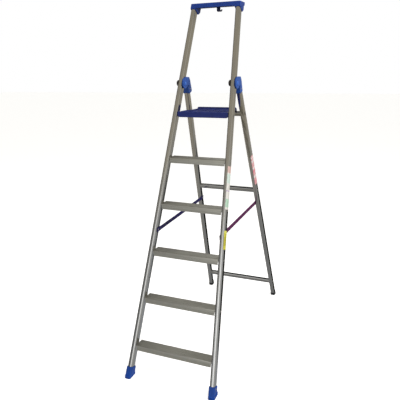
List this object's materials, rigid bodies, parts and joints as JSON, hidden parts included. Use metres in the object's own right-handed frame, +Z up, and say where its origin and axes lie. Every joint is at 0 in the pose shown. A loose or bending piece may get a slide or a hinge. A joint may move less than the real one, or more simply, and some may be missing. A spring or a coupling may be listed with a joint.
{
  "type": "platform step ladder",
  "caption": "Folding aluminium step ladder with ribbed treads, a tilting plastic platform, a guard rail with a tool tray, and webbing spreader straps.",
  "frame": {"origin": "on the floor under the middle of the open ladder's box", "axes": "+Z up, +X to the right of a person facing the ladder to climb it, -Y towards that person, so the ladder leans back towards +Y"},
  "size_m": [0.5014, 1.253, 1.898],
  "materials": {
    "aluminium_tube": "mill-finish extruded aluminium tube, satin",
    "aluminium_tread": "ribbed extruded aluminium, dull satin",
    "steel_fastener": "zinc-plated steel",
    "blue_plastic": "moulded polypropylene, satin",
    "hinge_blue_plastic": "moulded nylon, satin",
    "navy_plastic": "moulded polypropylene with an anti-slip pattern",
    "black_plastic": "moulded nylon, matt",
    "black_rubber": "moulded rubber",
    "strap_webbing": "flat woven polyester webbing",
    "label_pale": "printed film",
    "label_yellow": "printed film",
    "label_red": "printed film"
  },
  "bodies": {
    "front_frame": {"bucket_hook": "navy_plastic", "cap_screw_left": "steel_fastener", "cap_screw_right": "steel_fastener", "foot_rivet_left": "steel_fastener", "foot_rivet_right": "steel_fastener", "front_foot_left": "blue_plastic", "front_foot_right": "blue_plastic", "front_stile_left": "aluminium_tube", "front_stile_right": "aluminium_tube", "hinge_nut_left": "black_plastic", "hinge_nut_right": "black_plastic", "hinge_pin_left": "steel_fastener", "hinge_pin_right": "steel_fastener", "label_low": "label_yellow", "label_side": "label_pale", "platform_pin_left": "steel_fastener", "platform_pin_right": "steel_fastener", "strap_anchor_front_left": "steel_fastener", "strap_anchor_front_right": "steel_fastener", "strap_left": "strap_webbing", "strap_right": "strap_webbing", "top_cap": "blue_plastic", "tread_1": "aluminium_tread", "tread_2": "aluminium_tread", "tread_3": "aluminium_tread", "tread_4": "aluminium_tread", "tread_5": "aluminium_tread", "tread_rivet_1_left": "steel_fastener", "tread_rivet_1_right": "steel_fastener", "tread_rivet_2_left": "steel_fastener", "tread_rivet_2_right": "steel_fastener", "tread_rivet_3_left": "steel_fastener", "tread_rivet_3_right": "steel_fastener", "tread_rivet_4_left": "steel_fastener", "tread_rivet_4_right": "steel_fastener", "tread_rivet_5_left": "steel_fastener", "tread_rivet_5_right": "steel_fastener"},
    "rear_frame": {"hinge_body_left": "hinge_blue_plastic", "hinge_body_right": "hinge_blue_plastic", "hinge_rivet_left": "steel_fastener", "hinge_rivet_right": "steel_fastener", "label_rear": "label_red", "platform_rest_bar": "aluminium_tube", "platform_rest_bar_bolt_left": "steel_fastener", "platform_rest_bar_bolt_right": "steel_fastener", "rear_crossbar_lower": "aluminium_tube", "rear_crossbar_lower_bolt_left": "steel_fastener", "rear_crossbar_lower_bolt_right": "steel_fastener", "rear_crossbar_upper": "aluminium_tube", "rear_crossbar_upper_bolt_left": "steel_fastener", "rear_crossbar_upper_bolt_right": "steel_fastener", "rear_foot_left": "black_rubber", "rear_foot_right": "black_rubber", "rear_leg_left": "aluminium_tube", "rear_leg_right": "aluminium_tube", "strap_anchor_rear_left": "steel_fastener", "strap_anchor_rear_right": "steel_fastener"},
    "platform_deck": {"platform": "navy_plastic"}
  },
  "joints": [
    {"name": "fold", "type": "hinge", "parent": "front_frame", "child": "rear_frame", "pos_m": [0, -0.04248, 1.483], "axis": [-1, 0, 0], "range_deg": [0, 42], "deforming": ["strap_left", "strap_right"]},
    {"name": "platform_tilt", "type": "hinge", "parent": "front_frame", "child": "platform_deck", "pos_m": [0, -0.1045, 1.318], "axis": [1, 0, 0], "range_deg": [0, 69.3]}
  ],
  "couplings": [
    {"joint": "platform_tilt", "follows": "fold", "ratio": 1.65}
  ]
}
